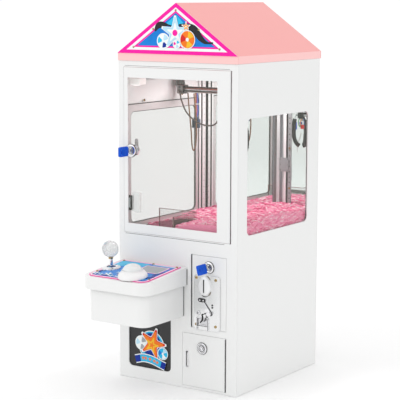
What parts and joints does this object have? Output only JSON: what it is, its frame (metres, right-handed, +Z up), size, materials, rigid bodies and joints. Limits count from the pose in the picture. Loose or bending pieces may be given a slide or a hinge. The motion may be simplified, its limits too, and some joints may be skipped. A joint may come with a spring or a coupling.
{
  "type": "claw crane machine",
  "caption": "Small house-roofed claw crane game: glazed cabin with gantry and claw, joystick console, coin door, service door and prize flap.",
  "frame": {"origin": "centre of the cabinet's footprint, on the surface it stands on", "axes": "+X to the player's right, -Y towards the player, +Z up"},
  "size_m": [0.3, 0.4804, 0.805],
  "materials": {
    "white_paint": "gloss",
    "pink_paint": "satin",
    "clear_acrylic": "gloss",
    "mirror": "polished",
    "gable_print": "gloss",
    "console_print": "gloss",
    "zinc_sheet": "satin",
    "chrome": "polished",
    "die_cast": "satin",
    "black_plastic": "satin",
    "white_plastic": "gloss",
    "translucent_cap": "gloss",
    "clear_ball": "gloss",
    "blue_plastic": "gloss",
    "pink_plush": "fluffy",
    "steel_braid": "braided",
    "brown_wire": "satin"
  },
  "bodies": {
    "cabinet": {"base_pan": "zinc_sheet", "left_wall": "white_paint", "right_wall": "white_paint", "back_wall": "white_paint", "front_panel": "white_paint", "playfield_deck": "zinc_sheet", "prize_chute": "zinc_sheet", "chute_guard": "clear_acrylic", "plush_bed": "pink_plush", "back_mirror": "mirror", "left_window": "clear_acrylic", "right_window": "clear_acrylic", "roof_shell": "pink_paint", "gable_front_plate": "pink_paint", "gable_graphic_panel": "gable_print", "gable_back_plate": "pink_paint", "cash_box": "zinc_sheet", "console_box": "white_paint", "console_lid": "white_paint", "console_graphic_panel": "console_print", "joystick_housing": "chrome", "button_bezel": "white_plastic", "rail_left": "chrome", "rail_right": "chrome", "led_lamp": "white_plastic", "control_box": "zinc_sheet", "power_inlet": "black_plastic"},
    "front_door": {"front_door_frame": "white_paint", "front_door_glass": "clear_acrylic", "magnetic_catch": "white_plastic", "front_lock_housing": "chrome"},
    "front_lock": {"front_lock_cylinder": "chrome", "front_key": "blue_plastic"},
    "coin_door": {"coin_door_panel": "white_paint", "coin_acceptor_plate": "die_cast", "coin_acceptor_body": "black_plastic", "coin_lock_housing": "chrome"},
    "coin_lock": {"coin_lock_cylinder": "chrome", "coin_key": "blue_plastic"},
    "coin_reject": {"coin_reject_button": "black_plastic"},
    "coin_return": {"coin_return_flap": "zinc_sheet"},
    "service_door": {"service_door_panel": "white_paint", "service_lock_housing": "chrome"},
    "service_lock": {"service_lock_cylinder": "chrome"},
    "prize_flap": {"prize_flap": "black_plastic"},
    "joystick_gimbal": {"joystick_gimbal": "black_plastic"},
    "joystick": {"joystick_shaft": "chrome", "joystick_ball": "clear_ball"},
    "push_button": {"button_cap": "translucent_cap"},
    "power_rocker": {"power_rocker": "black_plastic"},
    "bridge": {"bridge_beam": "chrome", "braided_cable": "steel_braid", "claw_cable": "brown_wire"},
    "trolley": {"trolley": "black_plastic"},
    "lift_tube": {"lift_tube": "chrome"},
    "claw": {"claw_head": "chrome"},
    "prong_1": {"claw_prong_1": "chrome"},
    "prong_2": {"claw_prong_2": "chrome"},
    "prong_3": {"claw_prong_3": "chrome"}
  },
  "joints": [
    {"name": "front_door_hinge", "type": "hinge", "parent": "cabinet", "child": "front_door", "pos_m": [0.1304, -0.1605, 0.3195], "axis": [0, 0, 1], "range_deg": [0, 90]},
    {"name": "front_lock_turn", "type": "hinge", "parent": "front_door", "child": "front_lock", "pos_m": [-0.1179, -0.165, 0.4943], "axis": [0, -1, 0], "range_deg": [0, 90]},
    {"name": "coin_door_hinge", "type": "hinge", "parent": "cabinet", "child": "coin_door", "pos_m": [0.041, -0.1605, 0.1344], "axis": [0, 0, 1], "range_deg": [-50, 0]},
    {"name": "coin_lock_turn", "type": "hinge", "parent": "coin_door", "child": "coin_lock", "pos_m": [0.0818, -0.165, 0.2645], "axis": [0, 1, 0], "range_deg": [0, 90]},
    {"name": "coin_reject_press", "type": "slide", "parent": "coin_door", "child": "coin_reject", "axis": [0, 1, 0], "range_m": [0, 0.003], "stiffness_N_per_m": 150},
    {"name": "coin_return_flap_swing", "type": "hinge", "parent": "coin_door", "child": "coin_return", "pos_m": [0.068, -0.1663, 0.1548], "axis": [1, 0, 0], "range_deg": [0, 60]},
    {"name": "service_door_hinge", "type": "hinge", "parent": "cabinet", "child": "service_door", "pos_m": [0.1201, -0.1605, 0.006], "axis": [0, 0, 1], "range_deg": [0, 90]},
    {"name": "service_lock_turn", "type": "hinge", "parent": "service_door", "child": "service_lock", "pos_m": [0.0651, -0.165, 0.0908], "axis": [0, 1, 0], "range_deg": [0, 90]},
    {"name": "prize_flap_swing", "type": "hinge", "parent": "cabinet", "child": "prize_flap", "pos_m": [-0.07275, -0.1616, 0.151], "axis": [1, 0, 0], "range_deg": [0, 45]},
    {"name": "joystick_forward", "type": "hinge", "parent": "cabinet", "child": "joystick_gimbal", "pos_m": [-0.114, -0.23919, 0.24328], "axis": [1, 0, 0], "range_deg": [-12, 12], "stiffness_Nm_per_rad": 0.4},
    {"name": "joystick_sideways", "type": "hinge", "parent": "joystick_gimbal", "child": "joystick", "pos_m": [-0.114, -0.23919, 0.24328], "axis": [0, 0.996, 0.0898], "range_deg": [-12, 12], "stiffness_Nm_per_rad": 0.4},
    {"name": "push_button_press", "type": "slide", "parent": "cabinet", "child": "push_button", "axis": [0, 0.0898, -0.996], "range_m": [0, 0.0035], "stiffness_N_per_m": 250},
    {"name": "power_rocker_tip", "type": "hinge", "parent": "cabinet", "child": "power_rocker", "pos_m": [0.096, 0.163, 0.086], "axis": [1, 0, 0], "range_deg": [0, 16]},
    {"name": "bridge_slide", "type": "slide", "parent": "cabinet", "child": "bridge", "axis": [0, 1, 0], "range_m": [-0.115, 0.06]},
    {"name": "trolley_slide", "type": "slide", "parent": "bridge", "child": "trolley", "axis": [1, 0, 0], "range_m": [-0.1, 0.05], "deforming": ["braided_cable", "claw_cable"]},
    {"name": "lift_tube_drop", "type": "slide", "parent": "trolley", "child": "lift_tube", "axis": [0, 0, -1], "range_m": [0, 0.055]},
    {"name": "claw_drop", "type": "slide", "parent": "lift_tube", "child": "claw", "axis": [0, 0, -1], "range_m": [0, 0.055]},
    {"name": "claw_prong_1_swing", "type": "hinge", "parent": "claw", "child": "prong_1", "pos_m": [0.04424, 0.02754, 0.545], "axis": [-0.4695, 0.8829, 0], "range_deg": [-28, 2], "stiffness_Nm_per_rad": 0.5},
    {"name": "claw_prong_2_swing", "type": "hinge", "parent": "claw", "child": "prong_2", "pos_m": [0.01828, 0.02845, 0.545], "axis": [-0.5299, -0.848, 0], "range_deg": [-28, 2], "stiffness_Nm_per_rad": 0.5},
    {"name": "claw_prong_3_swing", "type": "hinge", "parent": "claw", "child": "prong_3", "pos_m": [0.03048, 0.00551, 0.545], "axis": [0.9994, -0.0349, 0], "range_deg": [-28, 2], "stiffness_Nm_per_rad": 0.5}
  ],
  "couplings": [
    {"joint": "claw_drop", "follows": "lift_tube_drop", "ratio": 1},
    {"joint": "claw_prong_2_swing", "follows": "claw_prong_1_swing", "ratio": 1},
    {"joint": "claw_prong_3_swing", "follows": "claw_prong_1_swing", "ratio": 1}
  ]
}
